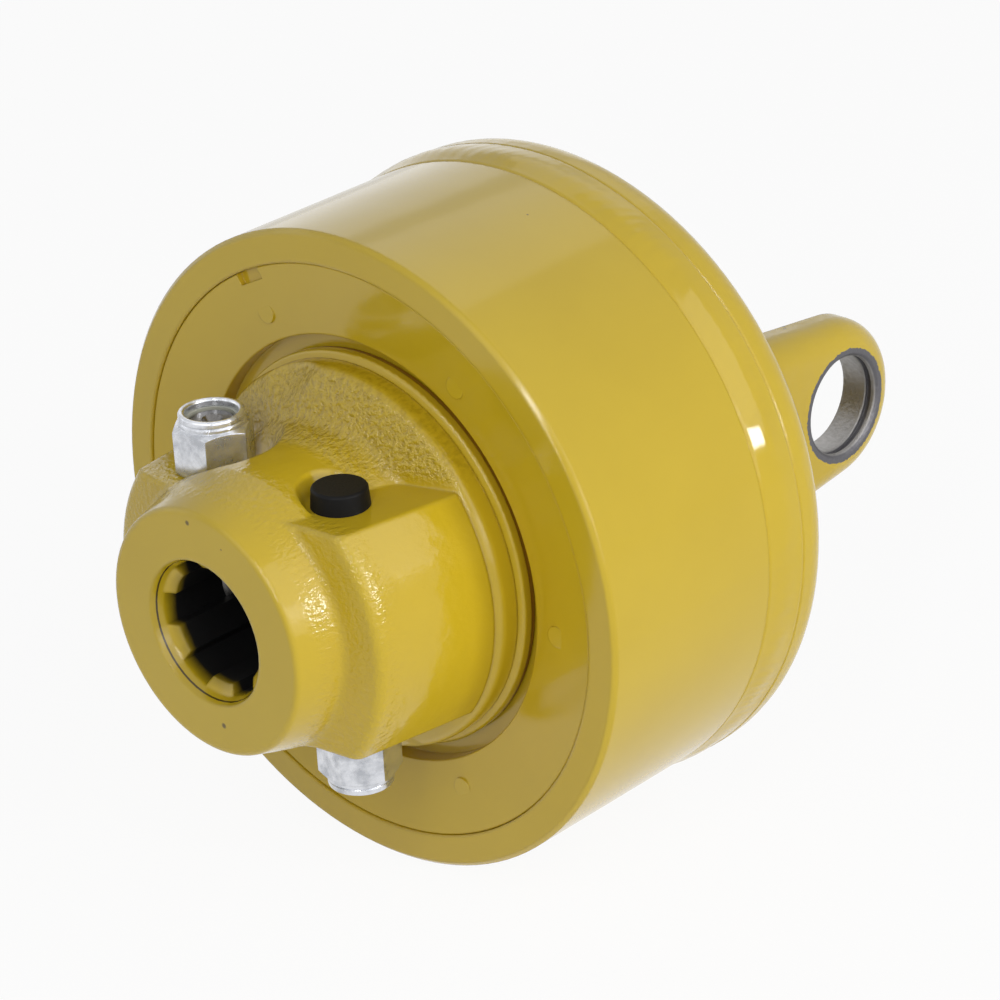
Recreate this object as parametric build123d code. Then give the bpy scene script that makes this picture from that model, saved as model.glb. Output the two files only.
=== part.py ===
# Drive shaft coupling of the automatic cut-out kind, in millimetres.
# The turning axis is Y. The splined hub looks to -Y, the cross yoke stands at the +Y end,
# the taper pins run along Z and the yoke's bore along X.
# The origin is the centre of the hub's front face.
from build123d import *
from math import radians, sin, sqrt, tan
import os

os.makedirs("parts", exist_ok=True)

# Fits and clearances, all on the radius or on one side
running_gap = 0.05
press_gap = 0.02
slide_gap = 0.15
end_gap = 0.10
cover_gap = 0.10
cast_gap = 0.50

# Hub: splined bore
spline_crest_r = 15.0
spline_slot_r = 17.5
spline_slots = 6
spline_slot_width = 8.7
spline_length = 78.0
mouth_step = 1.4
mouth_depth = 3.2
tooth_chamfer_end = 4.7
relief_step = 0.5

# Hub: front boss, neck and rough wall
boss_r = 31.7
boss_edge_round = 1.5
boss_flare = 2.6
boss_back = 9.5
boss_back_round = 2.0
neck_step = 1.7
neck_front = 17.0
neck_flare = 0.5
neck_run_out = 8.2
wall_foot_step = 2.0
wall_lean = 5.4
wall_cove = 5.0

# Hub: side lobes that carry the taper pins
lobe_front = 14.2
lobe_lean = 1.8
lobe_run_in = 2.5
lobe_front_r = 45.3
lobe_core_r = 25.0
lobe_cone = 0.123
lobe_front_round = 3.2
lobe_cove = 2.6
lobe_edge_round = 1.2
lobe_rim_overlap = 1.0

# Hub: flats of the lobes, and the pockets round the nuts and caps
flat_edge_reach = 0.01
cap_seat = 29.8
nut_seat = 27.4
seat_bottom = -29.6
pocket_cove = 1.2
cap_pocket_margin = 1.0
cap_pocket_flare = 0.6
nut_pocket_margin = 0.8
nut_pocket_flare = 0.7

# Hub: flange rim and journals
journal_r = 46.5
rim_step = 4.1
rim_front = 49.6
rim_width = 6.0
rim_round = 3.2
rear_journal_r = 32.0
rear_journal_length = 13.8

# Taper pins
pin_x = 21.6
pin_y = 27.5
pin_thread_r = 5.9
pin_shoulder = 0.4
pin_taper = 0.5
pin_taper_half_length = 24.0
pin_large_end = 22.6
pin_shank_inset = 1.5
pin_end_chamfer = 0.8
pin_end_inset = 0.4
pin_centre_r = 2.6
pin_centre_tip_r = 0.3
pin_centre_depth = 2.4

# Lock nuts with a plastic insert
nut_across_flats = 18.0
nut_hex_height = 12.4
nut_collar_r = 8.45
nut_collar_height = 3.0
nut_bead_r = 8.25
nut_bead_height = 1.6
nut_bead_round = 0.7
nut_neck_inset = 0.5
nut_mouth_r = 6.55
nut_mouth_depth = 2.0
nut_corner_chamfer = 1.0
insert_wall = 1.2
insert_height = 2.4
nut_turn_left = -23.4
nut_turn_right = -40.5

# Plastic caps over the large ends of the pins
cap_r = 7.25
cap_draft = 0.4
cap_height = 5.1
cap_round = 0.8
cap_stem_length = 4.0

# Shield ring and lip seal behind the rim
shield_step = 1.7
shield_thickness = 3.1
shield_round = 0.8
shield_lip = 0.7
lip_inset = 0.3
lip_thickness = 1.4

# Cover ring in the drum's mouth
cover_floor_gap = 0.4
cover_floor_thickness = 4.5
cover_opening_gap = 4.2
cover_dish = 2.65
cover_recess = 0.55
cover_edge_round = 0.5
mark_r = 2.75
mark_inset = 7.5
mark_height = 0.25
marks = 6
mark_first_angle = -3.0

# Drum
drum_r = 84.3
drum_wall = 17.3
drum_mouth_wall = 8.55
drum_mouth_depth = 12.5
drum_length = 62.5
drum_chamfer = 1.1
seam_chamfer = 0.3
weld_groove = 5.5

# Notch in the cover ring's edge, where a tool takes hold to lift the ring out
notch_angle = 116.2
notch_height = 3.4
notch_width = 8.5
notch_depth = 1.8

# Retaining wire and seal between the cover ring and the drum
wire_width = 3.6
wire_inset = 6.0
wire_turn = 340
seal_width = 2.6
seal_depth = 2.0
seal_inset = 2.4

# Rotor of the hub with its cams and springs
thrust_ring_thickness = 1.9
cams = 4
cam_width = 17.9
cam_end_wall = 3.05
cam_height = 24.0
cam_tip_width = 8.0
cam_travel = 6.5
cam_inset = 0.3
cam_groove_gap = 0.45
cam_groove_end = 2.0
pocket_room = 8.2
spring_bore_r = 6.9
spring_bore_depth = 18.0
spring_r = 6.4
spring_wire = 2.4
spring_turns = 3.5

# Thrust rings, bushes and the cap at the end of the bore
front_bush_wall = 3.15
front_ring_inset = 3.0
front_ring_width = 7.0
rear_bush_wall = 3.95
rear_bush_length = 12.0
rear_ring_inset = 7.0
ring_bore_step = 0.3
end_cap_step = 0.5
end_cap_thickness = 3.5
end_cap_depth = 7.8

# Yoke flange: back plate and two ears
plate_step = 1.2
plate_thickness = 17.5
plate_round = 8.0
cross_centre = 194.4
ear_outer = 41.0
ear_inner = 29.8
ear_r = 22.6
ear_edge_round = 7.5
ear_root_half_width = 28.5
ear_root_rise = 15.0
ear_foot_round = 9.0
yoke_floor_rise = 6.0
yoke_corner_round = 16.0
yoke_bore_r = 13.6
yoke_mouth_chamfer = 0.9
ring_groove_depth = 0.9
ring_groove_inset = 3.7
ring_groove_width = 1.9

# Weld round the back of the drum
weld_crown = 1.3

# Radii that follow from the sizes above
mouth_r = spline_slot_r + mouth_step
relief_r = spline_slot_r + relief_step
end_cap_r = relief_r + end_cap_step
boss_back_r = boss_r + boss_flare
neck_front_r = boss_back_r + neck_step
neck_back_r = neck_front_r + neck_flare
wall_foot_r = neck_back_r + wall_foot_step
rim_r = journal_r + rim_step
shield_r = rim_r + shield_step
lip_r = shield_r - lip_inset
cover_opening_r = shield_r + cover_opening_gap
mark_circle_r = cover_opening_r + mark_inset
bush_bore_r = journal_r + running_gap
cover_bush_r = bush_bore_r + front_bush_wall
rear_bush_bore_r = rear_journal_r + running_gap
rear_bush_r = rear_bush_bore_r + rear_bush_wall
drum_bore_r = drum_r - drum_wall
mouth_bore_r = drum_r - drum_mouth_wall
cover_r = mouth_bore_r - cover_gap
front_ring_r = drum_bore_r - front_ring_inset
plate_r = drum_r + plate_step
weld_foot_r = drum_r - weld_groove
rotor_r = drum_bore_r - cast_gap
cam_tip_r = rotor_r - cam_inset
cam_foot_r = cam_tip_r - cam_height
pocket_floor_r = cam_foot_r - pocket_room
pin_small_r = pin_thread_r + pin_shoulder
pin_large_r = pin_small_r + pin_taper
thread_hole_r = pin_thread_r + running_gap
insert_r = thread_hole_r + insert_wall
nut_corner_r = nut_across_flats / sqrt(3)
nut_height = nut_hex_height + nut_collar_height

# Places along Y, stacked from the hub's front face to the yoke
wall_foot = rim_front - wall_lean
neck_back = wall_foot - neck_run_out
lobe_foot = lobe_front - lobe_lean
rim_back = rim_front + rim_width
cover_floor = rim_back + shield_thickness + lip_thickness + cover_floor_gap
cover_back = cover_floor + cover_floor_thickness
drum_front = cover_back - drum_mouth_depth
cover_face_outer = drum_front + cover_recess
cover_face_inner = cover_face_outer + cover_dish
drum_back = drum_front + drum_length
wire_y = cover_back - wire_inset
seal_y = cover_back - seal_inset
rotor_front = cover_back + thrust_ring_thickness + end_gap
rotor_back = drum_back - thrust_ring_thickness - end_gap
cam_length = rotor_back - rotor_front - 2 * cam_end_wall
cam_middle = (rotor_front + rotor_back) / 2
bore_end = rotor_back + rear_journal_length
relief_end = bore_end - end_cap_depth
plate_back = drum_back + plate_thickness
ear_root = plate_back + ear_root_rise
yoke_floor = plate_back + yoke_floor_rise


def outline(*corners):
    """Closed face through the corners. A third number rounds that corner with a tangent arc."""
    points = [Vector(corner[0], corner[1]) for corner in corners]
    entries = []
    exits = []
    edges = []
    for index, corner in enumerate(corners):
        point = points[index]
        radius = corner[2] if len(corner) == 3 else 0
        back = (points[index - 1] - point).normalized()
        ahead = (points[(index + 1) % len(points)] - point).normalized()
        half_angle = radians(back.get_angle(ahead)) / 2
        reach = radius / tan(half_angle)
        entries.append(point + back * reach)
        exits.append(point + ahead * reach)
        if radius:
            middle = point + (back + ahead).normalized() * (radius / sin(half_angle) - radius)
            edges.append(ThreePointArc(entries[-1], middle, exits[-1]))
    for index, leave in enumerate(exits):
        arrive = entries[(index + 1) % len(entries)]
        edges.append(Line(leave, arrive))
    return make_face(edges)


def turned(*corners):
    """Solid turned about Y from corners given as radius, place along Y and corner radius."""
    return revolve(outline(*corners), Axis.Y)


def ring(inner_r, outer_r, front, back):
    """Plain ring about Y."""
    return turned((inner_r, front), (outer_r, front), (outer_r, back), (inner_r, back))


def disc(radius, front, back):
    """Plain disc about Y."""
    return turned((0, front), (radius, front), (radius, back), (0, back))


def along_y(sketch, front, back):
    """Sketch drawn with X across and Z up, made solid from front to back."""
    return extrude(Plane.XZ.offset(-front) * sketch, amount=front - back)


def round_about(shape, count, first_angle=0.0):
    """Copies of a shape, spaced evenly about Y and counted from +X towards +Z."""
    return [Rot(0, -(first_angle + index * 360 / count), 0) * shape for index in range(count)]


def lobe_r(y):
    """Radius of the side lobes' cone at a place along Y."""
    return lobe_front_r + (y - lobe_front) * lobe_cone


def pin_r(height):
    """Radius of a taper pin at a height over its middle, the large end up."""
    slope = (pin_large_r - pin_small_r) / (2 * pin_taper_half_length)
    return pin_large_r + (height - pin_taper_half_length) * slope


def hub_blank():
    """Boss, neck, wall, rim, journals and rotor, all turned as one casting."""
    return turned(
        (0, 0),
        (boss_r, 0, boss_edge_round),
        (boss_back_r, boss_back, boss_back_round),
        (neck_front_r, neck_front),
        (neck_back_r, neck_back),
        (wall_foot_r, wall_foot, wall_cove),
        (rim_r, rim_front, rim_round),
        (rim_r, rim_back),
        (journal_r, rim_back),
        (journal_r, rotor_front),
        (rotor_r, rotor_front),
        (rotor_r, rotor_back),
        (rear_journal_r, rotor_back),
        (rear_journal_r, bore_end),
        (0, bore_end),
    )


def neck_r(y):
    """Radius of the neck's cone just behind the boss, at a place along Y."""
    return boss_back_r + (y - boss_back) * neck_step / (neck_front - boss_back)


def lobe(side, top):
    """One side lobe: a ring of the casting that is left only between two flats."""
    run_in = lobe_foot - lobe_run_in
    end = rim_front - lobe_rim_overlap
    blank = turned(
        (lobe_core_r, run_in),
        (neck_r(run_in), run_in),
        (neck_r(lobe_foot), lobe_foot, lobe_cove),
        (lobe_front_r, lobe_front, lobe_front_round),
        (lobe_r(end), end),
        (lobe_core_r, end),
    )
    slab = Pos(side * rim_r, rim_front / 2, (top + seat_bottom) / 2)
    slab *= Box(2 * rim_r, rim_front, top - seat_bottom)
    body = blank & slab
    flats = body.edges().filter_by(
        lambda edge: edge.center().Z > top - flat_edge_reach or edge.center().Z < seat_bottom + flat_edge_reach
    )
    outer = flats.filter_by(lambda edge: abs(edge.center().X) > pin_x)
    return fillet(outer, lobe_edge_round)


def spline_bore():
    """Space of the splined bore, its mouth and the relief behind it."""
    slot = Pos(spline_slot_r / 2, 0) * Rectangle(spline_slot_r, spline_slot_width)
    section = Circle(spline_crest_r)
    for index in range(spline_slots):
        section += Rot(0, 0, index * 360 / spline_slots) * slot
    section &= Circle(spline_slot_r)
    bore = along_y(section, 0, spline_length)
    mouth = turned(
        (0, 0),
        (mouth_r, 0),
        (spline_slot_r, mouth_depth),
        (spline_crest_r, tooth_chamfer_end),
        (0, tooth_chamfer_end),
    )
    relief = disc(relief_r, spline_length, relief_end)
    cap_seat = disc(end_cap_r, relief_end, bore_end)
    return bore + mouth + relief + cap_seat


def pin_space():
    """Space of one taper pin's hole with its two spot faces, the large end up, about Z."""
    hole = Solid.make_cone(
        pin_small_r + running_gap,
        pin_large_r + running_gap,
        2 * pin_taper_half_length,
        Plane((0, 0, -pin_taper_half_length)),
    )
    deep = rim_r
    top = Pos(0, 0, pin_taper_half_length) * upright(pin_large_r + running_gap, 0, deep)
    bottom = Pos(0, 0, -pin_taper_half_length) * upright(pin_small_r + running_gap, -deep, 0)
    return Part() + [hole, top, bottom]


def upright(radius, low, high):
    """Cylinder about Z between two heights."""
    return extrude(Plane.XY.offset(low) * Circle(radius), amount=high - low)


def pocket(radius, flare, seat):
    """Space over a seat, about Z: flat at the seat and wider towards the outside."""
    profile = outline((0, seat), (radius, seat, pocket_cove), (radius + flare * (rim_r - seat), rim_r), (0, rim_r))
    return revolve(Plane.XZ * profile, Axis.Z)


def hub():
    """The splined hub, one casting with its rotor and the four cam pockets."""
    body = hub_blank() + lobe(1, cap_seat) + lobe(-1, nut_seat)
    cap_pocket_r = cap_r + cap_pocket_margin
    nut_pocket_r = nut_corner_r + nut_pocket_margin
    turn_over = Rot(180, 0, 0)
    right = pin_space()
    left = Rot(0, 180, 0) * right
    body -= Pos(pin_x, pin_y, 0) * right
    body -= Pos(-pin_x, pin_y, 0) * left
    body -= Pos(pin_x, pin_y, 0) * pocket(cap_pocket_r, cap_pocket_flare, cap_seat)
    body -= Pos(-pin_x, pin_y, 0) * pocket(nut_pocket_r, nut_pocket_flare, nut_seat)
    body -= Pos(pin_x, pin_y, 0) * turn_over * pocket(nut_pocket_r, nut_pocket_flare, -seat_bottom)
    body -= Pos(-pin_x, pin_y, 0) * turn_over * pocket(cap_pocket_r, cap_pocket_flare, -seat_bottom)
    body -= spline_bore()
    slot_height = rotor_r + cast_gap - pocket_floor_r
    slot = Pos(pocket_floor_r + slot_height / 2, cam_middle, 0)
    slot *= Box(slot_height, cam_length + 2 * slide_gap, cam_width + 2 * slide_gap)
    for cut in round_about(slot, cams):
        body -= cut
    return body


def cam_section(foot_r, tip_r, gap=0.0):
    """Section of a cam that points to +X: straight sides and a nose with flanks at 45 degrees."""
    half = cam_width / 2 + gap
    half_tip = cam_tip_width / 2 + gap * (sqrt(2) - 1)
    shoulder_r = tip_r + gap - (half - half_tip)
    return Polygon(
        (foot_r, -half),
        (shoulder_r, -half),
        (tip_r + gap, -half_tip),
        (tip_r + gap, half_tip),
        (shoulder_r, half),
        (foot_r, half),
        align=None,
    )


def cam():
    """One cam at +X, held in, with the bore for its spring."""
    front = cam_middle - cam_length / 2
    body = along_y(cam_section(cam_foot_r, cam_tip_r), front, front + cam_length)
    bore = Pos(cam_foot_r, cam_middle, 0) * Rot(0, 90, 0) * upright(spring_bore_r, -1, spring_bore_depth)
    return body - bore


def cam_spring():
    """One coil spring at +X between the pocket's floor and the cam."""
    length = cam_foot_r + spring_bore_depth - pocket_floor_r - 2 * end_gap
    rise = length - spring_wire
    path = Helix(rise / spring_turns, rise, spring_r - spring_wire / 2)
    section = Plane(path @ 0, z_dir=path % 0) * Rectangle(spring_wire, spring_wire)
    coil = sweep(section, path, is_frenet=True)
    return Pos(pocket_floor_r + end_gap + spring_wire / 2, cam_middle, 0) * Rot(0, 90, 0) * coil


def taper_pin():
    """One taper pin about Z with its large end up and its threaded end down."""
    thread_end = seat_bottom - nut_height + nut_mouth_depth + pin_end_inset
    shoulder = seat_bottom + pin_shank_inset
    profile = outline(
        (0, thread_end),
        (pin_thread_r - pin_end_chamfer, thread_end),
        (pin_thread_r, thread_end + pin_end_chamfer),
        (pin_thread_r, shoulder),
        (pin_r(shoulder), shoulder),
        (pin_r(pin_large_end), pin_large_end),
        (0, pin_large_end),
    )
    centre = Cone(pin_centre_r, pin_centre_tip_r, pin_centre_depth, align=(Align.CENTER, Align.CENTER, Align.MIN))
    return revolve(Plane.XZ * profile, Axis.Z) - Pos(0, 0, thread_end) * centre


def lock_nut():
    """One lock nut standing on its seat, about Z: hexagon, collar and rolled mouth."""
    flat_r = nut_across_flats / 2
    bead_foot = nut_height - nut_bead_height
    body = extrude(RegularPolygon(flat_r, 6, major_radius=False, rotation=30), nut_hex_height)
    blank = outline(
        (0, 0),
        (flat_r, 0),
        (nut_corner_r, nut_corner_chamfer),
        (nut_corner_r, nut_hex_height - nut_corner_chamfer),
        (nut_collar_r, nut_hex_height),
        (0, nut_hex_height),
    )
    collar = outline(
        (0, nut_hex_height / 2),
        (nut_collar_r, nut_hex_height / 2),
        (nut_collar_r, bead_foot - nut_neck_inset),
        (nut_collar_r - nut_neck_inset, bead_foot),
        (nut_bead_r, bead_foot),
        (nut_bead_r, nut_height, nut_bead_round),
        (nut_mouth_r, nut_height, nut_bead_round),
        (nut_mouth_r, nut_height - nut_mouth_depth),
        (0, nut_height - nut_mouth_depth),
    )
    body &= revolve(Plane.XZ * blank, Axis.Z)
    body += revolve(Plane.XZ * collar, Axis.Z)
    insert_top = nut_height - nut_mouth_depth
    body -= upright(insert_r, insert_top - insert_height, insert_top)
    return body - upright(thread_hole_r, 0, insert_top)


def nut_insert():
    """The plastic ring in a lock nut, about Z."""
    top = nut_height - nut_mouth_depth
    outer = upright(insert_r - press_gap, top - insert_height, top)
    return outer - upright(thread_hole_r, top - insert_height, top)


def plug_cap():
    """One plastic cap on its seat, with the stem that plugs the pin's hole, about Z."""
    profile = outline(
        (0, -cap_stem_length),
        (pin_large_r - cover_gap, -cap_stem_length),
        (pin_large_r - cover_gap, 0),
        (cap_r, 0),
        (cap_r - cap_draft, cap_height, cap_round),
        (0, cap_height),
    )
    return revolve(Plane.XZ * profile, Axis.Z)


def shield_ring():
    """Thin ring that sits behind the hub's rim."""
    return turned(
        (journal_r + press_gap, rim_back),
        (rim_r - shield_lip, rim_back),
        (shield_r, rim_back + shield_lip, shield_round),
        (shield_r, rim_back + shield_thickness),
        (journal_r + press_gap, rim_back + shield_thickness),
    )


def lip_seal():
    """Rubber ring between the shield ring and the cover ring."""
    front = rim_back + shield_thickness
    return ring(journal_r + press_gap, lip_r, front, front + lip_thickness)


def seam_notch():
    """Space of the notch in the cover ring's edge."""
    section = Pos(mouth_bore_r - notch_height / 2, 0) * Rectangle(notch_height, notch_width)
    section = Rot(0, 0, notch_angle) * section
    return along_y(section, drum_front - cast_gap, cover_face_outer + notch_depth)


def wire_space():
    """Space of the groove that the retaining wire lies in, half in the drum, half in the cover."""
    half = wire_width / 2 + running_gap
    return ring(mouth_bore_r - half, mouth_bore_r + half, wire_y - half, wire_y + half)


def cover_ring():
    """Dished ring that closes the drum's mouth and carries the front bush."""
    body = turned(
        (cover_r - seam_chamfer, cover_face_outer),
        (cover_r, cover_face_outer + seam_chamfer),
        (cover_r, cover_back),
        (cover_bush_r, cover_back),
        (cover_bush_r, cover_floor),
        (cover_opening_r, cover_floor),
        (cover_opening_r, cover_face_inner, cover_edge_round),
    )
    slope = (cover_face_outer - cover_face_inner) / (cover_r - cover_opening_r)
    mark_face = cover_face_outer + slope * (mark_circle_r - cover_r)
    mark = Pos(mark_circle_r, 0) * Circle(mark_r)
    pad = along_y(mark, mark_face - mark_height, mark_face + cast_gap)
    for copy in round_about(pad, marks, mark_first_angle):
        body += copy
    body -= wire_space()
    body -= ring(cover_r - seal_depth, mouth_bore_r, seal_y - seal_width / 2, seal_y + seal_width / 2)
    return body - seam_notch()


def cover_seal():
    """Square-cut seal ring in the cover ring's edge."""
    half = seal_width / 2 - press_gap
    return ring(cover_r - seal_depth + press_gap, cover_r, seal_y - half, seal_y + half)


def retaining_wire():
    """Square wire, nearly a full turn, that locks the cover ring in the drum."""
    section = Pos(mouth_bore_r, wire_y) * Rectangle(wire_width, wire_width)
    return revolve(section, Axis.Y, wire_turn)


def drum():
    """Turned housing with the mouth for the cover ring and the grooves for the cams."""
    body = turned(
        (mouth_bore_r, drum_front + seam_chamfer),
        (mouth_bore_r + seam_chamfer, drum_front),
        (drum_r - drum_chamfer, drum_front),
        (drum_r, drum_front + drum_chamfer),
        (drum_r, drum_back - weld_groove),
        (weld_foot_r, drum_back),
        (drum_bore_r, drum_back),
        (drum_bore_r, cover_back),
        (mouth_bore_r, cover_back),
    )
    groove = cam_section(cam_foot_r, cam_tip_r + cam_travel, cam_groove_gap)
    for cut in round_about(along_y(groove, cover_back, drum_back - cam_groove_end), cams):
        body -= cut
    return body - wire_space()


def weld_bead():
    """Weld that fills the groove between the drum and the plate, with a raised crown."""
    front = drum_back - weld_groove
    back = drum_back + plate_r - weld_foot_r
    middle = Vector((drum_r + plate_r) / 2, (front + back) / 2)
    edges = [
        Line((drum_r, front), (weld_foot_r, drum_back)),
        Line((weld_foot_r, drum_back), (plate_r, back)),
        ThreePointArc((plate_r, back), middle + Vector(weld_crown, 0), (drum_r, front)),
    ]
    return revolve(make_face(edges), Axis.Y)


def yoke_plate():
    """Round back plate with the seat of the rear bush."""
    return turned(
        (0, drum_back + rear_bush_length),
        (rear_bush_r, drum_back + rear_bush_length),
        (rear_bush_r, drum_back),
        (weld_foot_r, drum_back),
        (plate_r, drum_back + plate_r - weld_foot_r),
        (plate_r, plate_back, plate_round),
        (0, plate_back),
    )


def ear_side_view():
    """Side view of an ear, X along the coupling's axis and Y up: a round eye on widening arms."""
    eye = Pos(cross_centre, 0) * Circle(ear_r)
    root = Pos(ear_root, 0) * Rectangle(cast_gap, 2 * ear_root_half_width)
    arm = make_hull(eye.edges() + root.edges())
    foot_length = ear_root - plate_back + cast_gap
    foot = Pos(ear_root - foot_length / 2, 0) * Rectangle(foot_length, 2 * ear_root_half_width)
    return arm + foot


def yoke_bore():
    """Space of the bore through both ears, its chamfered mouths and its ring grooves, about X."""
    profile = outline(
        (0, 0),
        (yoke_bore_r, 0),
        (yoke_bore_r, ear_outer - ring_groove_inset),
        (yoke_bore_r + ring_groove_depth, ear_outer - ring_groove_inset),
        (yoke_bore_r + ring_groove_depth, ear_outer - ring_groove_inset + ring_groove_width),
        (yoke_bore_r, ear_outer - ring_groove_inset + ring_groove_width),
        (yoke_bore_r, ear_outer - yoke_mouth_chamfer),
        (yoke_bore_r + 2 * yoke_mouth_chamfer, ear_outer + yoke_mouth_chamfer),
        (0, ear_outer + yoke_mouth_chamfer),
    )
    half = Rot(0, 90, 0) * revolve(Plane.XZ * profile, Axis.Z)
    return half + mirror(half, Plane.YZ)


def yoke_flange():
    """Forging with the round back plate and two ears for the cross."""
    side_view = Plane(origin=(0, 0, 0), x_dir=(0, 1, 0), z_dir=(1, 0, 0))
    ear = extrude(side_view * ear_side_view(), ear_outer)
    rims = ear.faces().sort_by(Axis.X)[-1].edges().filter_by(lambda edge: edge.center().Y > plate_back)
    ear = fillet(rims, ear_edge_round)
    arms = ear + mirror(ear, Plane.YZ)
    gap_end = cross_centre + 2 * ear_r
    gap = outline(
        (-ear_inner, yoke_floor, yoke_corner_round),
        (ear_inner, yoke_floor, yoke_corner_round),
        (ear_inner, gap_end),
        (-ear_inner, gap_end),
    )
    arms -= extrude(Plane.XY.offset(-2 * ear_r) * gap, 4 * ear_r)
    arms -= Pos(0, cross_centre, 0) * yoke_bore()
    body = yoke_plate() + arms
    feet = body.edges().filter_by(Plane.XZ).filter_by(
        lambda edge: abs(edge.center().Y - plate_back) < running_gap
        and edge.bounding_box().max.X < ear_outer + cast_gap
    )
    return fillet(feet, ear_foot_round)


def seated(shape, side, seat, turn=0.0):
    """A piece made about Z, put on the pin axis at the side given, upright or hanging on its seat."""
    place = Pos(side * pin_x, pin_y, seat)
    if seat < 0:
        place *= Rot(180, 0, 0)
    return place * Rot(0, 0, turn) * shape


def build():
    """All the pieces by name."""
    pin = taper_pin()
    nut = lock_nut()
    insert = nut_insert()
    cap = plug_cap()
    pieces = {
        "hub": hub(),
        "taper_pin_right": Pos(pin_x, pin_y, 0) * pin,
        "taper_pin_left": Pos(-pin_x, pin_y, nut_seat + seat_bottom) * Rot(0, 180, 0) * pin,
        "lock_nut_right": seated(nut, 1, seat_bottom, -nut_turn_right),
        "lock_nut_left": seated(nut, -1, nut_seat, nut_turn_left),
        "nut_insert_right": seated(insert, 1, seat_bottom),
        "nut_insert_left": seated(insert, -1, nut_seat),
        "plug_cap_right": seated(cap, 1, cap_seat),
        "plug_cap_left": seated(cap, -1, seat_bottom),
        "shield_ring": shield_ring(),
        "lip_seal": lip_seal(),
        "hub_end_cap": disc(end_cap_r - press_gap, relief_end, relief_end + end_cap_thickness),
        "cover_ring": cover_ring(),
        "cover_seal": cover_seal(),
        "retaining_wire": retaining_wire(),
        "drum": drum(),
        "weld_bead": weld_bead(),
        "yoke_flange": yoke_flange(),
        "front_bush": ring(bush_bore_r, cover_bush_r - press_gap, cover_floor, cover_back),
        "rear_bush": ring(
            rear_bush_bore_r, rear_bush_r - press_gap, drum_back, drum_back + rear_bush_length
        ),
        "front_thrust_ring": ring(
            front_ring_r - front_ring_width, front_ring_r, cover_back, rotor_front - end_gap
        ),
        "rear_thrust_ring": ring(
            rear_bush_r + ring_bore_step, drum_bore_r - rear_ring_inset, rotor_back + end_gap, drum_back
        ),
    }
    for index, copy in enumerate(round_about(cam(), cams)):
        pieces[f"cam_{index + 1}"] = copy
    for index, copy in enumerate(round_about(cam_spring(), cams)):
        pieces[f"cam_spring_{index + 1}"] = copy
    return pieces


for name, shape in build().items():
    export_step(shape, f"parts/{name}.step")
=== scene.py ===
import math

import bmesh
import bpy
from mathutils import Matrix, Vector, noise


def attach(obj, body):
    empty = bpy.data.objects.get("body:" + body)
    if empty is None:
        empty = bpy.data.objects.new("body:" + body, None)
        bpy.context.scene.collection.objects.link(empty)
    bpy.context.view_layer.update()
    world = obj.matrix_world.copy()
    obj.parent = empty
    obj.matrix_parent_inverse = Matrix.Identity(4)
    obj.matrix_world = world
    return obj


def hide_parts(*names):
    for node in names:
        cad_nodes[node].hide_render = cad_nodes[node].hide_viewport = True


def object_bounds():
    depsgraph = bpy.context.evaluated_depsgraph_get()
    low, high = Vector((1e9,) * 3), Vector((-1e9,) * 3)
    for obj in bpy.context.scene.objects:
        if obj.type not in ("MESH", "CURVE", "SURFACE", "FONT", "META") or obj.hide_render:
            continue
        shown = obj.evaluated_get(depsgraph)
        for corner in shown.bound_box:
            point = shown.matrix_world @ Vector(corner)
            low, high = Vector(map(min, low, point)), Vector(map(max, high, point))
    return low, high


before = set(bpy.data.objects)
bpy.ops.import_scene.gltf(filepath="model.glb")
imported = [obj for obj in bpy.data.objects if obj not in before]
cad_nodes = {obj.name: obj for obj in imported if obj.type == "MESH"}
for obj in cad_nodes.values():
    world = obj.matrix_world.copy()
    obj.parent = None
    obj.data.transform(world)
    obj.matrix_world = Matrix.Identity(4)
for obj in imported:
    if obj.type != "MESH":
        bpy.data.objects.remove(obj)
cad_box = [list(corner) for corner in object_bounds()]
mm = 0.001


# Mustard enamel on the turned and pressed steel: drum, cover ring and shield ring. A thick gloss
# coat, sprayed after assembly over every seam, with a slight orange peel, a few dark nibs of
# dirt, and soft bright corners where it draws back from the edge.
def linear(text):
    """Linear colour with alpha from an sRGB hex value such as "C8A92B"."""
    parts = [int(text[i:i + 2], 16) / 255 for i in (0, 2, 4)]
    light = [p / 12.92 if p <= 0.04045 else ((p + 0.055) / 1.055) ** 2.4 for p in parts]
    return (*light, 1.0)


def add(tree, kind, inputs=None, **settings):
    """One shader node with its settings; inputs holds values, or the sockets that feed it."""
    made = tree.nodes.new(kind)
    for name, value in settings.items():
        setattr(made, name, value)
    for name, value in (inputs or {}).items():
        if isinstance(value, bpy.types.NodeSocket):
            tree.links.new(value, made.inputs[name])
        else:
            made.inputs[name].default_value = value
    return made


def new_material(name):
    """An empty node material and its tree."""
    material = bpy.data.materials.new(name)
    material.use_nodes = True
    material.node_tree.nodes.clear()
    return material, material.node_tree


def finish_material(tree, shader):
    """Joins the last shader to the output."""
    add(tree, "ShaderNodeOutputMaterial", {"Surface": shader})


def paint_nodes(node_names, material):
    """Gives CAD nodes this material in place of their own."""
    for name in node_names:
        mesh = cad_nodes[name].data
        mesh.materials.clear()
        mesh.materials.append(material)


enamel_colour = "C8AB22"
enamel_thin = "C4A71F"
enamel_roughness = 0.12
enamel_ior = 1.5
thin_patch_mm = 45.0
orange_peel_mm = 2.6
paint_sag_mm = 16.0
sag_to_peel = 6.0
paint_relief_mm = 0.012
drum_softening_mm = 1.2
ring_softening_mm = 0.5
corner_samples = 4
# Dark colour of the nibs, also used for the painted groove shade in the hub's bore mouth.
nib_and_shade_colour = "4A3A14"
nib_strength = 0.85
drum_nibs_mm = (((82.9, 116.7, -21.2), 0.9), ((78.0, 70.5, -31.0), 0.4),
                ((22.0, 96.0, 81.4), 0.35))


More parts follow.
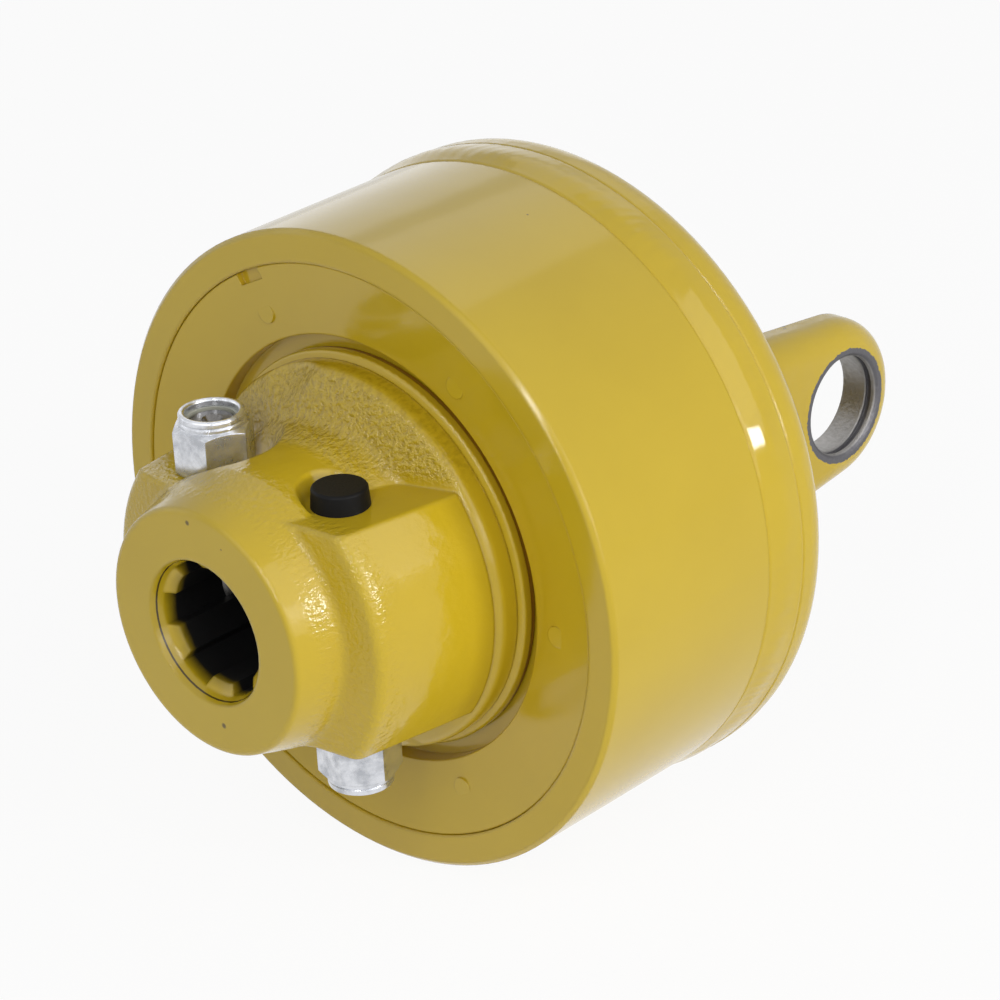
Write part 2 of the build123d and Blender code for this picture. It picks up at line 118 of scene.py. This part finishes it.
def enamel_tone(tree, place):
    """Mustard colour with very faint patches where the coat is thinner."""
    patch = add(tree, "ShaderNodeTexNoise", {
        "Vector": place, "Scale": 1 / (thin_patch_mm * mm), "Detail": 3.0, "Roughness": 0.5})
    tone = add(tree, "ShaderNodeValToRGB", {"Fac": patch.outputs["Fac"]})
    thin, full = tone.color_ramp.elements
    thin.position, thin.color = 0.3, linear(enamel_thin)
    full.position, full.color = 0.6, linear(enamel_colour)
    return tone.outputs["Color"]


def nibs(tree, place, colour, spots):
    """Dark specks where the coat is chipped or caught dirt; each spot is a place and a radius."""
    for spot, radius in spots:
        away = add(tree, "ShaderNodeVectorMath", {0: place, 1: [c * mm for c in spot]},
                   operation="DISTANCE")
        speck = add(tree, "ShaderNodeMapRange", {
            "Value": away.outputs["Value"], "From Min": 0.5 * radius * mm,
            "From Max": radius * mm, "To Min": nib_strength, "To Max": 0.0})
        colour = add(tree, "ShaderNodeMix", {
            0: speck.outputs["Result"], 6: colour, 7: linear(nib_and_shade_colour)},
            data_type="RGBA").outputs[2]
    return colour


def smooth_enamel(name, softening_mm, spots=()):
    """Gloss enamel on smooth steel, drawn back from sharp corners by the softening."""
    material, tree = new_material(name)
    place = add(tree, "ShaderNodeTexCoord").outputs["Object"]
    colour = nibs(tree, place, enamel_tone(tree, place), spots)
    peel = add(tree, "ShaderNodeTexNoise", {
        "Vector": place, "Scale": 1 / (orange_peel_mm * mm), "Detail": 2.0, "Roughness": 0.45})
    sag = add(tree, "ShaderNodeTexNoise", {
        "Vector": place, "Scale": 1 / (paint_sag_mm * mm), "Detail": 1.0, "Roughness": 0.4})
    height = add(tree, "ShaderNodeMath", {
        0: sag.outputs["Fac"], 1: sag_to_peel, 2: peel.outputs["Fac"]}, operation="MULTIPLY_ADD")
    soft = add(tree, "ShaderNodeBevel", {"Radius": softening_mm * mm}, samples=corner_samples)
    bump = add(tree, "ShaderNodeBump", {
        "Height": height.outputs["Value"], "Strength": 1.0, "Distance": paint_relief_mm * mm,
        "Normal": soft.outputs["Normal"]})
    shader = add(tree, "ShaderNodeBsdfPrincipled", {
        "Base Color": colour, "Roughness": enamel_roughness, "IOR": enamel_ior,
        "Normal": bump.outputs["Normal"]})
    finish_material(tree, shader.outputs["BSDF"])
    return material


paint_nodes(["drum"], smooth_enamel("mustard_enamel_drum", drum_softening_mm, drum_nibs_mm))
smooth_paint = smooth_enamel("mustard_enamel_smooth", ring_softening_mm)
paint_nodes(["cover_ring", "shield_ring"], smooth_paint)


# Hub: sand-cast iron under the same enamel, turned smooth on its front face and its rim. Lumps of
# the mould break the lights into sparkles on the ridges, and the wall above the lobes is rough,
# with painted shade darkening its pits. Down the splined bore the paint thins out over dark oiled
# metal.
sand_grain_mm = 1.25
grain_stretch = (1, 0.6, 1)
ridge_grain_mm = 0.3
lobe_grain_mm = 0.05
wall_grain_mm = 1.1
sand_lump_mm = 7.0
sand_lump_height_mm = 0.22
# Painted shade in the pits of the rough wall.
pit_shade_colour = "8F7406"
pit_shade_strength = 0.32
pit_depths = (0.34, 0.58)
ridges_until_mm = (18.0, 23.0)
rough_wall_mm = (33.0, 38.0)
rough_top_mm = (29.9, 33.0)
turned_front_mm = (4.5, 6.5)
turned_front_share = 0.12
turned_rim_mm = (49.2, 50.3)
turned_rim_share = 0.08
flat_front_mm = (0.3, 1.6)
flat_front_share = 0.25
casting_softening_mm = 1.2
bore_radius_mm = 17.9
bore_mouth_radius_mm = 19.1
mouth_line_at_mm = 1.5
mouth_line_half_width_mm = 0.22
overspray_mm = (4.6, 8.0)
overspray_wander_mm = 2.0
bare_bore_colour = "101011"
hub_nibs_mm = (((-2.2, 0.0, 28.7), 0.8), ((4.2, 0.0, -23.7), 0.9), ((9.0, 0.0, 25.0), 0.3))


def hub_finish():
    """Enamel over the casting, smooth where it was turned, bare and dark down the bore."""
    material, tree = new_material("mustard_enamel_on_casting")
    place = add(tree, "ShaderNodeTexCoord").outputs["Object"]
    ways = add(tree, "ShaderNodeSeparateXYZ", {"Vector": place})
    along, upward = ways.outputs["Y"], ways.outputs["Z"]
    across = add(tree, "ShaderNodeVectorMath", {0: place, 1: (1, 0, 1)}, operation="MULTIPLY")
    radius = add(tree, "ShaderNodeVectorMath", {0: across.outputs["Vector"]},
                 operation="LENGTH").outputs["Value"]

    # A dark line of painted shade in the mouth of the bore, the shadow of a small groove,
    # over the nibs on the front face.
    line = add(tree, "ShaderNodeMath", {
        0: along, 1: mouth_line_at_mm * mm, 2: mouth_line_half_width_mm * mm},
        operation="COMPARE")
    in_mouth = add(tree, "ShaderNodeMath", {0: radius, 1: bore_mouth_radius_mm * mm},
                   operation="LESS_THAN")
    painted_groove_shade = add(tree, "ShaderNodeMath", {
        0: line.outputs["Value"], 1: in_mouth.outputs["Value"]}, operation="MULTIPLY")
    groove_shaded = add(tree, "ShaderNodeMix", {
        0: painted_groove_shade.outputs["Value"], 6: nibs(tree, place, enamel_tone(tree, place), hub_nibs_mm),
        7: linear(nib_and_shade_colour)}, data_type="RGBA")

    # Grain of the sand mould, drawn a little coarser than real sand so that it shows: strong on
    # the wall's top, fair on the ridges and nearly gone on the lobes.
    drawn_out = add(tree, "ShaderNodeVectorMath", {0: place, 1: grain_stretch},
                    operation="MULTIPLY")
    grain = add(tree, "ShaderNodeTexNoise", {
        "Vector": drawn_out.outputs["Vector"], "Scale": 1 / (sand_grain_mm * mm), "Detail": 2.0,
        "Roughness": 0.6})
    lump = add(tree, "ShaderNodeTexNoise", {
        "Vector": place, "Scale": 1 / (sand_lump_mm * mm), "Detail": 1.5, "Roughness": 0.5})
    on_ridges = add(tree, "ShaderNodeMapRange", {
        "Value": along, "From Min": ridges_until_mm[0] * mm, "From Max": ridges_until_mm[1] * mm,
        "To Min": ridge_grain_mm, "To Max": lobe_grain_mm})
    on_wall = add(tree, "ShaderNodeMapRange", {
        "Value": along, "From Min": rough_wall_mm[0] * mm, "From Max": rough_wall_mm[1] * mm})
    on_top = add(tree, "ShaderNodeMapRange", {
        "Value": upward, "From Min": rough_top_mm[0] * mm, "From Max": rough_top_mm[1] * mm,
        "To Max": wall_grain_mm})
    on_wall_top = add(tree, "ShaderNodeMath", {
        0: on_wall.outputs["Result"], 1: on_top.outputs["Result"]}, operation="MULTIPLY")
    grain_height = add(tree, "ShaderNodeMath", {
        0: on_ridges.outputs["Result"], 1: on_wall_top.outputs["Value"]}, operation="MAXIMUM")
    fine = add(tree, "ShaderNodeMath", {
        0: grain.outputs["Fac"], 1: grain_height.outputs["Value"]}, operation="MULTIPLY")
    height = add(tree, "ShaderNodeMath", {
        0: lump.outputs["Fac"], 1: sand_lump_height_mm, 2: fine.outputs["Value"]},
        operation="MULTIPLY_ADD")

    # Painted shade: low spots of the grain on the wall's top are darkened, as shade in its pits.
    pits = add(tree, "ShaderNodeMapRange", {
        "Value": grain.outputs["Fac"], "From Min": pit_depths[0], "From Max": pit_depths[1],
        "To Min": pit_shade_strength, "To Max": 0.0})
    in_pit_shade = add(tree, "ShaderNodeMath", {
        0: pits.outputs["Result"], 1: on_wall_top.outputs["Value"]}, operation="MULTIPLY")
    shaded = add(tree, "ShaderNodeMix", {
        0: in_pit_shade.outputs["Value"], 6: groove_shaded.outputs[2], 7: linear(pit_shade_colour)},
        data_type="RGBA")

    # The lathe took most of the grain off the front of the boss, its flat face and the rim.
    cast = add(tree, "ShaderNodeMapRange", {
        "Value": along, "From Min": turned_front_mm[0] * mm, "From Max": turned_front_mm[1] * mm,
        "To Min": turned_front_share, "To Max": 1.0})
    rim = add(tree, "ShaderNodeMapRange", {
        "Value": radius, "From Min": turned_rim_mm[0] * mm, "From Max": turned_rim_mm[1] * mm,
        "To Min": 1.0, "To Max": turned_rim_share})
    face = add(tree, "ShaderNodeMapRange", {
        "Value": along, "From Min": flat_front_mm[0] * mm, "From Max": flat_front_mm[1] * mm,
        "To Min": flat_front_share, "To Max": 1.0})
    rough_share = add(tree, "ShaderNodeMath", {
        0: cast.outputs["Result"], 1: rim.outputs["Result"]}, operation="MULTIPLY")
    strength = add(tree, "ShaderNodeMath", {
        0: rough_share.outputs["Value"], 1: face.outputs["Result"]}, operation="MULTIPLY")
    soft = add(tree, "ShaderNodeBevel", {"Radius": casting_softening_mm * mm},
               samples=corner_samples)
    bump = add(tree, "ShaderNodeBump", {
        "Height": height.outputs["Value"], "Strength": strength.outputs["Value"],
        "Distance": 1.0 * mm, "Normal": soft.outputs["Normal"]})
    paint = add(tree, "ShaderNodeBsdfPrincipled", {
        "Base Color": shaded.outputs[2], "Roughness": enamel_roughness, "IOR": enamel_ior,
        "Normal": bump.outputs["Normal"]})

    bare = add(tree, "ShaderNodeBsdfPrincipled", {
        "Base Color": linear(bare_bore_colour), "Roughness": 0.5, "Metallic": 0.2})
    inside = add(tree, "ShaderNodeMath", {0: radius, 1: bore_radius_mm * mm},
                 operation="LESS_THAN")
    ragged = add(tree, "ShaderNodeMath", {
        0: lump.outputs["Fac"], 1: overspray_wander_mm * mm, 2: along}, operation="MULTIPLY_ADD")
    deep = add(tree, "ShaderNodeMapRange", {
        "Value": ragged.outputs["Value"], "From Min": overspray_mm[0] * mm,
        "From Max": overspray_mm[1] * mm})
    bare_share = add(tree, "ShaderNodeMath", {
        0: inside.outputs["Value"], 1: deep.outputs["Result"]}, operation="MULTIPLY")
    both = add(tree, "ShaderNodeMixShader", {
        0: bare_share.outputs["Value"], 1: paint.outputs["BSDF"], 2: bare.outputs["BSDF"]})
    finish_material(tree, both.outputs["Shader"])
    return material


paint_nodes(["hub"], hub_finish())


# Yoke flange: forged steel, with the round back plate turned and the two ears left as forged.
# The bores are masked off, because the bearing cups press in, so they show bright ground steel,
# with a darker ring round each mouth that ends in a ragged burr of paint.
yoke_bore_mm = (0, 194.4, 0)
forging_lump_mm = 6.0
forging_relief_mm = 0.25
forging_softening_mm = 1.0
forging_roughness = 0.16
ground_steel_colour = "9A9896"
burnt_ring_colour = "68676A"
bore_wall_mm = (13.7, 14.0)
ground_grain_mm = 1.2
ground_roughness = (0.35, 0.6)
burr_height_mm = 0.22
bare_ring_radius_mm = 16.7
ragged_edge_mm = 1.6
yoke_nibs_mm = (((29.8, 182.8, 24.5), 1.0), ((31.5, 181.5, 24.3), 0.6))


def yoke_finish():
    """Enamel on the forging, ground steel in the bores and a dull ragged ring round them."""
    material, tree = new_material("mustard_enamel_on_forging")
    place = add(tree, "ShaderNodeTexCoord").outputs["Object"]
    soft = add(tree, "ShaderNodeBevel", {"Radius": forging_softening_mm * mm},
               samples=corner_samples)
    lump = add(tree, "ShaderNodeTexNoise", {
        "Vector": place, "Scale": 1 / (forging_lump_mm * mm), "Detail": 2.0, "Roughness": 0.5})
    bump = add(tree, "ShaderNodeBump", {
        "Height": lump.outputs["Fac"], "Strength": 1.0, "Distance": forging_relief_mm * mm,
        "Normal": soft.outputs["Normal"]})
    paint = add(tree, "ShaderNodeBsdfPrincipled", {
        "Base Color": nibs(tree, place, enamel_tone(tree, place), yoke_nibs_mm),
        "Roughness": forging_roughness, "IOR": enamel_ior, "Normal": bump.outputs["Normal"]})

    from_bore = add(tree, "ShaderNodeVectorMath", {0: place, 1: [c * mm for c in yoke_bore_mm]},
                    operation="SUBTRACT")
    flat = add(tree, "ShaderNodeVectorMath", {0: from_bore.outputs["Vector"], 1: (0, 1, 1)},
               operation="MULTIPLY")
    radius = add(tree, "ShaderNodeVectorMath", {0: flat.outputs["Vector"]},
                 operation="LENGTH").outputs["Value"]
    on_face = add(tree, "ShaderNodeMapRange", {
        "Value": radius, "From Min": bore_wall_mm[0] * mm, "From Max": bore_wall_mm[1] * mm})
    steel = add(tree, "ShaderNodeMix", {
        0: on_face.outputs["Result"], 6: linear(ground_steel_colour),
        7: linear(burnt_ring_colour)}, data_type="RGBA")
    # The grinder's marks are drawn coarser than real ones, or they wouldn't show.
    grind = add(tree, "ShaderNodeTexNoise", {
        "Vector": place, "Scale": 1 / (ground_grain_mm * mm), "Detail": 4.0, "Roughness": 0.65})
    shade = add(tree, "ShaderNodeMapRange", {
        "Value": grind.outputs["Fac"], "From Min": 0.3, "From Max": 0.7,
        "To Min": ground_roughness[0], "To Max": ground_roughness[1]})
    burr = add(tree, "ShaderNodeBump", {
        "Height": grind.outputs["Fac"], "Strength": 1.0, "Distance": burr_height_mm * mm,
        "Normal": soft.outputs["Normal"]})
    bare = add(tree, "ShaderNodeBsdfPrincipled", {
        "Base Color": steel.outputs[2], "Roughness": shade.outputs["Result"], "Metallic": 1.0,
        "Normal": burr.outputs["Normal"]})

    ragged = add(tree, "ShaderNodeMath", {
        0: grind.outputs["Fac"], 1: ragged_edge_mm * mm, 2: radius}, operation="MULTIPLY_ADD")
    inside = add(tree, "ShaderNodeMath", {
        0: ragged.outputs["Value"], 1: bare_ring_radius_mm * mm}, operation="LESS_THAN")
    both = add(tree, "ShaderNodeMixShader", {
        0: inside.outputs["Value"], 1: paint.outputs["BSDF"], 2: bare.outputs["BSDF"]})
    finish_material(tree, both.outputs["Shader"])
    return material


paint_nodes(["yoke_flange"], yoke_finish())


# Weld seam round the back of the drum: one pass of arc weld in the groove between the drum and
# the plate, with shallow ripples, a few high spots, and one flat place where the pass overlaps
# its own start. It is painted with the rest, so the ripples only show where a light grazes them.
weld_front_mm = 109.4
weld_back_mm = 121.8
weld_front_radius_mm = 84.3
weld_back_radius_mm = 85.5
weld_crown_mm = 0.95
weld_sunk_mm = 0.6
steps_across = 20
steps_round = 900
same_point_mm = 0.01
low_side_deg = -50.0
low_side_share = 0.35
ripple_mm = 3.6
ripple_height_mm = 0.05
ripple_bow = 2
ripple_wander = 2.5
wander_mm = 30
fade_mm = 22
fade_offset = Vector((9, 0, 0))
broad_lump_mm = 16
small_lump_mm = 6
small_lump_share = 0.4
lump_threshold = 0.15
lump_height_mm = 0.35
highest_lump_mm = 0.16
overlap_at_deg = 21.5
overlap_half_deg = 3.6
overlap_slope_mm = 2.5
overlap_top_mm = 1.0
overlap_back_slope = 2.2


def crown_height(share):
    """Height of the even crown in mm, from 0 at the front edge to 1 at the back edge."""
    return weld_crown_mm * math.sin(math.pi * share) ** 1.5


def weld_relief(place, angle, share):
    """How far a point of the bead stands above its even crown, in mm."""
    hump = math.sin(math.pi * min(max(share, 0), 1))
    wander = ripple_wander * noise.noise(place / (wander_mm * mm))
    round_seam_mm = angle * weld_back_radius_mm
    ripple = math.sin(math.tau * (round_seam_mm / ripple_mm + ripple_bow * (share - 0.5) ** 2
                                  + wander))
    fade = 0.5 + 0.5 * noise.noise(place / (fade_mm * mm) + fade_offset)
    lump = (noise.noise(place / (broad_lump_mm * mm))
            + small_lump_share * noise.noise(place / (small_lump_mm * mm)) - lump_threshold)
    from_low_side = angle - math.radians(low_side_deg)
    thin = low_side_share * (1 + math.cos(from_low_side)) * weld_crown_mm
    relief = hump * (fade * ripple * ripple_height_mm
                     + min(lump * lump_height_mm, highest_lump_mm) - thin)
    if 0 < share < 1:
        from_overlap = math.degrees(angle) - overlap_at_deg
        overlap = math.exp(-(from_overlap / overlap_half_deg) ** 4)
        flat = min(overlap_slope_mm * share,
                   overlap_top_mm * min(1.0, overlap_back_slope * (1 - share)))
        relief += overlap * (flat - crown_height(share) - relief)
    return relief


def weld_seam():
    """Spun bead with ripples and lumps, standing for the plain weld of the frame."""
    work = bmesh.new()
    points = []
    for step in range(steps_across + 1):
        share = step / steps_across
        base = weld_front_radius_mm + (weld_back_radius_mm - weld_front_radius_mm) * share
        crown = crown_height(share) if 0 < share < 1 else -weld_sunk_mm
        along = weld_front_mm + (weld_back_mm - weld_front_mm) * share
        points.append(work.verts.new(((base + crown) * mm, along * mm, 0)))
    edges = [work.edges.new(pair) for pair in zip(points, points[1:])]
    bmesh.ops.spin(work, geom=points + edges, axis=(0, 1, 0), cent=(0, 0, 0), angle=math.tau,
                   steps=steps_round, use_merge=True, use_duplicate=False)
    bmesh.ops.remove_doubles(work, verts=work.verts, dist=same_point_mm * mm)
    for vert in work.verts:
        radius = math.hypot(vert.co.x, vert.co.z)
        angle = math.atan2(vert.co.z, vert.co.x)
        share = (vert.co.y / mm - weld_front_mm) / (weld_back_mm - weld_front_mm)
        grow = 1 + weld_relief(vert.co, angle, share) * mm / radius
        vert.co.x *= grow
        vert.co.z *= grow
    bmesh.ops.recalc_face_normals(work, faces=work.faces)
    mesh = bpy.data.meshes.new("weld_seam")
    work.to_mesh(mesh)
    work.free()
    mesh.shade_smooth()
    mesh.materials.append(smooth_paint)
    seam = bpy.data.objects.new("weld_seam", mesh)
    bpy.context.scene.collection.objects.link(seam)
    return seam


weld = weld_seam()
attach(weld, "housing")
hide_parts("weld_bead")


# Lock nuts: cold-formed steel with bright zinc plating, slightly cloudy, so that their faces
# mirror the room in soft patches. Each holds a nylon ring the colour of weak tea.
zinc_colour = "DDDFE4"
zinc_dull = "B4B7BD"
zinc_cloud_mm = 4.0
zinc_metallic = 0.9
zinc_roughness = (0.3, 0.2)
zinc_relief_mm = 0.2
nut_softening_mm = 0.35
fine_grain_relief_mm = 0.1
gloss_spread = 0.05


def zinc_plate():
    """Bright zinc on steel, with faint cloudiness."""
    material, tree = new_material("bright_zinc")
    place = add(tree, "ShaderNodeTexCoord").outputs["Object"]
    cloud = add(tree, "ShaderNodeTexNoise", {
        "Vector": place, "Scale": 1 / (zinc_cloud_mm * mm), "Detail": 5.0, "Roughness": 0.6})
    tone = add(tree, "ShaderNodeValToRGB", {"Fac": cloud.outputs["Fac"]})
    dull, bright = tone.color_ramp.elements
    dull.position, dull.color = 0.35, linear(zinc_dull)
    bright.position, bright.color = 0.6, linear(zinc_colour)
    gloss = add(tree, "ShaderNodeMapRange", {
        "Value": cloud.outputs["Fac"], "From Min": 0.3, "From Max": 0.7,
        "To Min": zinc_roughness[0], "To Max": zinc_roughness[1]})
    soft = add(tree, "ShaderNodeBevel", {"Radius": nut_softening_mm * mm},
               samples=corner_samples)
    bump = add(tree, "ShaderNodeBump", {
        "Height": cloud.outputs["Fac"], "Strength": 0.15, "Distance": zinc_relief_mm * mm,
        "Normal": soft.outputs["Normal"]})
    shader = add(tree, "ShaderNodeBsdfPrincipled", {
        "Base Color": tone.outputs["Color"], "Roughness": gloss.outputs["Result"],
        "Metallic": zinc_metallic, "Normal": bump.outputs["Normal"]})
    finish_material(tree, shader.outputs["BSDF"])
    return material


def plain_surface(name, colour, roughness, metallic, grain_mm, grain_strength, shine=0.5):
    """A moulded, turned or drawn surface: one colour, with its grain coarse enough to show."""
    material, tree = new_material(name)
    place = add(tree, "ShaderNodeTexCoord").outputs["Object"]
    grain = add(tree, "ShaderNodeTexNoise", {
        "Vector": place, "Scale": 1 / (grain_mm * mm), "Detail": 3.0, "Roughness": 0.6})
    gloss = add(tree, "ShaderNodeMapRange", {
        "Value": grain.outputs["Fac"], "From Min": 0.3, "From Max": 0.7,
        "To Min": roughness - gloss_spread, "To Max": roughness + gloss_spread})
    bump = add(tree, "ShaderNodeBump", {
        "Height": grain.outputs["Fac"], "Strength": grain_strength,
        "Distance": fine_grain_relief_mm * mm})
    shader = add(tree, "ShaderNodeBsdfPrincipled", {
        "Base Color": linear(colour), "Roughness": gloss.outputs["Result"],
        "Metallic": metallic, "Specular IOR Level": shine, "Normal": bump.outputs["Normal"]})
    finish_material(tree, shader.outputs["BSDF"])
    return material


paint_nodes(["lock_nut_left", "lock_nut_right"], zinc_plate())
natural_nylon = plain_surface("natural_nylon", "A9A99C", roughness=0.45, metallic=0.0,
                              grain_mm=0.8, grain_strength=0.1)
paint_nodes(["nut_insert_left", "nut_insert_right"], natural_nylon)


# Plug caps: injection-moulded black polyethylene, pushed in by hand. The spark-eroded grain of
# the mould takes away nearly all the shine, so they stay black in full light.
black_polyethylene = plain_surface("black_polyethylene", "111112", roughness=0.5, metallic=0.0,
                                   grain_mm=0.5, grain_strength=0.25, shine=0.12)
paint_nodes(["plug_cap_left", "plug_cap_right"], black_polyethylene)


# Inner pieces: turned and ground steel with a film of grease, sintered bronze bushes, and seals of
# black nitrile rubber. The lip seal caught some of the enamel through the gap, so its edge is a
# dark mustard line.
inner_steel = ["taper_pin_left", "taper_pin_right", "hub_end_cap", "retaining_wire",
               "front_thrust_ring", "rear_thrust_ring", "cam_1", "cam_2", "cam_3", "cam_4",
               "cam_spring_1", "cam_spring_2", "cam_spring_3", "cam_spring_4"]
oiled_steel = plain_surface("oiled_steel", "6E6C6A", roughness=0.3, metallic=1.0,
                            grain_mm=0.8, grain_strength=0.1)
paint_nodes(inner_steel, oiled_steel)
sintered_bronze = plain_surface("sintered_bronze", "A77B45", roughness=0.4, metallic=1.0,
                                grain_mm=0.6, grain_strength=0.2)
paint_nodes(["front_bush", "rear_bush"], sintered_bronze)
nitrile_rubber = plain_surface("nitrile_rubber", "151516", roughness=0.6, metallic=0.0,
                               grain_mm=0.8, grain_strength=0.15)
paint_nodes(["cover_seal"], nitrile_rubber)
painted_rubber = plain_surface("painted_rubber", "8A640A", roughness=0.5, metallic=0.0,
                               grain_mm=0.8, grain_strength=0.15)
paint_nodes(["lip_seal"], painted_rubber)


# Floor and backdrop: a white sheet under the part and a white room round it. Both look plain
# white to the camera and in the gloss, and give the part only a little light; the sheet keeps
# a faint shadow.
floor_half_width = 4.0
floor_gap_mm = 0.1
floor_glow_share = 0.93
floor_colour = "F3F3F3"
white = "FFFFFF"
room_light = 0.13


def looked_at(tree):
    """1 for what the camera sees, straight or in the gloss, and 0 for light on the part."""
    path = add(tree, "ShaderNodeLightPath")
    return add(tree, "ShaderNodeMath", {
        0: path.outputs["Is Camera Ray"], 1: path.outputs["Is Glossy Ray"]},
        operation="MAXIMUM").outputs["Value"]


def studio_floor():
    """Square sheet just under the drum."""
    work = bmesh.new()
    bmesh.ops.create_grid(work, x_segments=1, y_segments=1, size=floor_half_width)
    bmesh.ops.translate(work, verts=work.verts, vec=(0, 0, cad_box[0][2] - floor_gap_mm * mm))
    mesh = bpy.data.meshes.new("studio_floor")
    work.to_mesh(mesh)
    work.free()
    material, tree = new_material("white_sweep")
    seen = add(tree, "ShaderNodeMath", {0: looked_at(tree), 1: floor_glow_share},
               operation="MULTIPLY")
    matt = add(tree, "ShaderNodeBsdfDiffuse", {"Color": linear(floor_colour)})
    glow = add(tree, "ShaderNodeEmission", {"Color": linear(white), "Strength": 1.0})
    both = add(tree, "ShaderNodeMixShader", {
        0: seen.outputs["Value"], 1: matt.outputs["BSDF"], 2: glow.outputs["Emission"]})
    finish_material(tree, both.outputs["Shader"])
    mesh.materials.append(material)
    floor = bpy.data.objects.new("studio_floor", mesh)
    bpy.context.scene.collection.objects.link(floor)
    return floor


studio_floor()

world = bpy.data.worlds.new("studio")
bpy.context.scene.world = world
world.use_nodes = True
room = world.node_tree
room.nodes.clear()
around = add(room, "ShaderNodeBackground", {"Color": linear(white), "Strength": room_light})
behind = add(room, "ShaderNodeBackground", {"Color": linear(white), "Strength": 1.0})
whole = add(room, "ShaderNodeMixShader", {
    0: looked_at(room), 1: around.outputs["Background"], 2: behind.outputs["Background"]})
add(room, "ShaderNodeOutputWorld", {"Surface": whole.outputs["Shader"]})


# Lamps: two large soft boxes on the right give most of the light. A small bright window beside
# them draws the sparkles, and a narrow strip in front the light lines along the corners. Weak
# boxes open the shadows, and two behind the left side whiten the drum's top in its gloss.
drum_middle = Vector((0, 80 * mm, 0))
soft_boxes = (
    # name, azimuth and elevation in degrees, distance, width and height in metres, brightness
    ("right_box", 95, 35, 1.4, 1.5, 1.2, 1.18),
    ("right_low_box", 75, 12, 1.4, 1.4, 0.6, 1.2),
    ("right_window", 101, 14.5, 1.3, 0.14, 0.25, 34.0),
    ("front_right_strip", 30, 32, 1.4, 0.12, 0.9, 12.5),
    ("front_box", 0, 30, 1.4, 1.1, 1.1, 0.64),
    ("left_box", -60, 20, 1.4, 0.8, 0.8, 0.5),
    ("back_left_low", -130, 10, 1.5, 0.9, 0.9, 0.42),
    ("back_left_high", -150, 50, 1.5, 0.9, 0.9, 0.5),
)


def direction(azimuth, elevation):
    """Unit vector from the part; azimuth 0 is straight in front, 90 is on the right."""
    return Vector((math.sin(azimuth) * math.cos(elevation),
                   -math.cos(azimuth) * math.cos(elevation), math.sin(elevation)))


def soft_box(name, azimuth, elevation, distance, width, height, brightness):
    """Rectangular area lamp that looks at the middle of the drum; brightness 1 is paper white."""
    toward_lamp = direction(math.radians(azimuth), math.radians(elevation))
    lamp = bpy.data.lights.new(name, "AREA")
    lamp.shape = "RECTANGLE"
    lamp.size = width
    lamp.size_y = height
    lamp.energy = brightness * math.pi * width * height
    holder = bpy.data.objects.new(name, lamp)
    facing = toward_lamp.to_track_quat("Z", "Y").to_matrix().to_4x4()
    holder.matrix_world = Matrix.Translation(drum_middle + toward_lamp * distance) @ facing
    bpy.context.scene.collection.objects.link(holder)


for box in soft_boxes:
    soft_box(*box)


# Camera: a long lens at the photograph's viewing angle, turned slightly about its own axis and
# aimed a little past the drum's front, as the photograph is framed.
camera_azimuth = math.radians(44.26)
camera_elevation = math.radians(25.54)
camera_roll = math.radians(-3.18)
camera_distance = 0.8809
camera_aim = (0.07061, 0.03185)
lens_mm = 133.04
film_mm = 36.0
nearest_seen = 0.05

toward = direction(camera_azimuth, camera_elevation)
level = Vector((math.cos(camera_azimuth), math.sin(camera_azimuth), 0))
upright = toward.cross(level)
right = level * math.cos(camera_roll) + upright * math.sin(camera_roll)
up = upright * math.cos(camera_roll) - level * math.sin(camera_roll)
camera_place = right * camera_aim[0] + up * camera_aim[1] + toward * camera_distance
camera_data = bpy.data.cameras.new("camera")
camera_data.lens = lens_mm
camera_data.sensor_width = film_mm
camera_data.clip_start = nearest_seen
camera = bpy.data.objects.new("camera", camera_data)
camera_axes = Matrix((right, up, toward)).transposed().to_4x4()
camera.matrix_world = Matrix.Translation(camera_place) @ camera_axes
bpy.context.scene.collection.objects.link(camera)
bpy.context.scene.camera = camera
bpy.context.scene.view_settings.view_transform = "Standard"
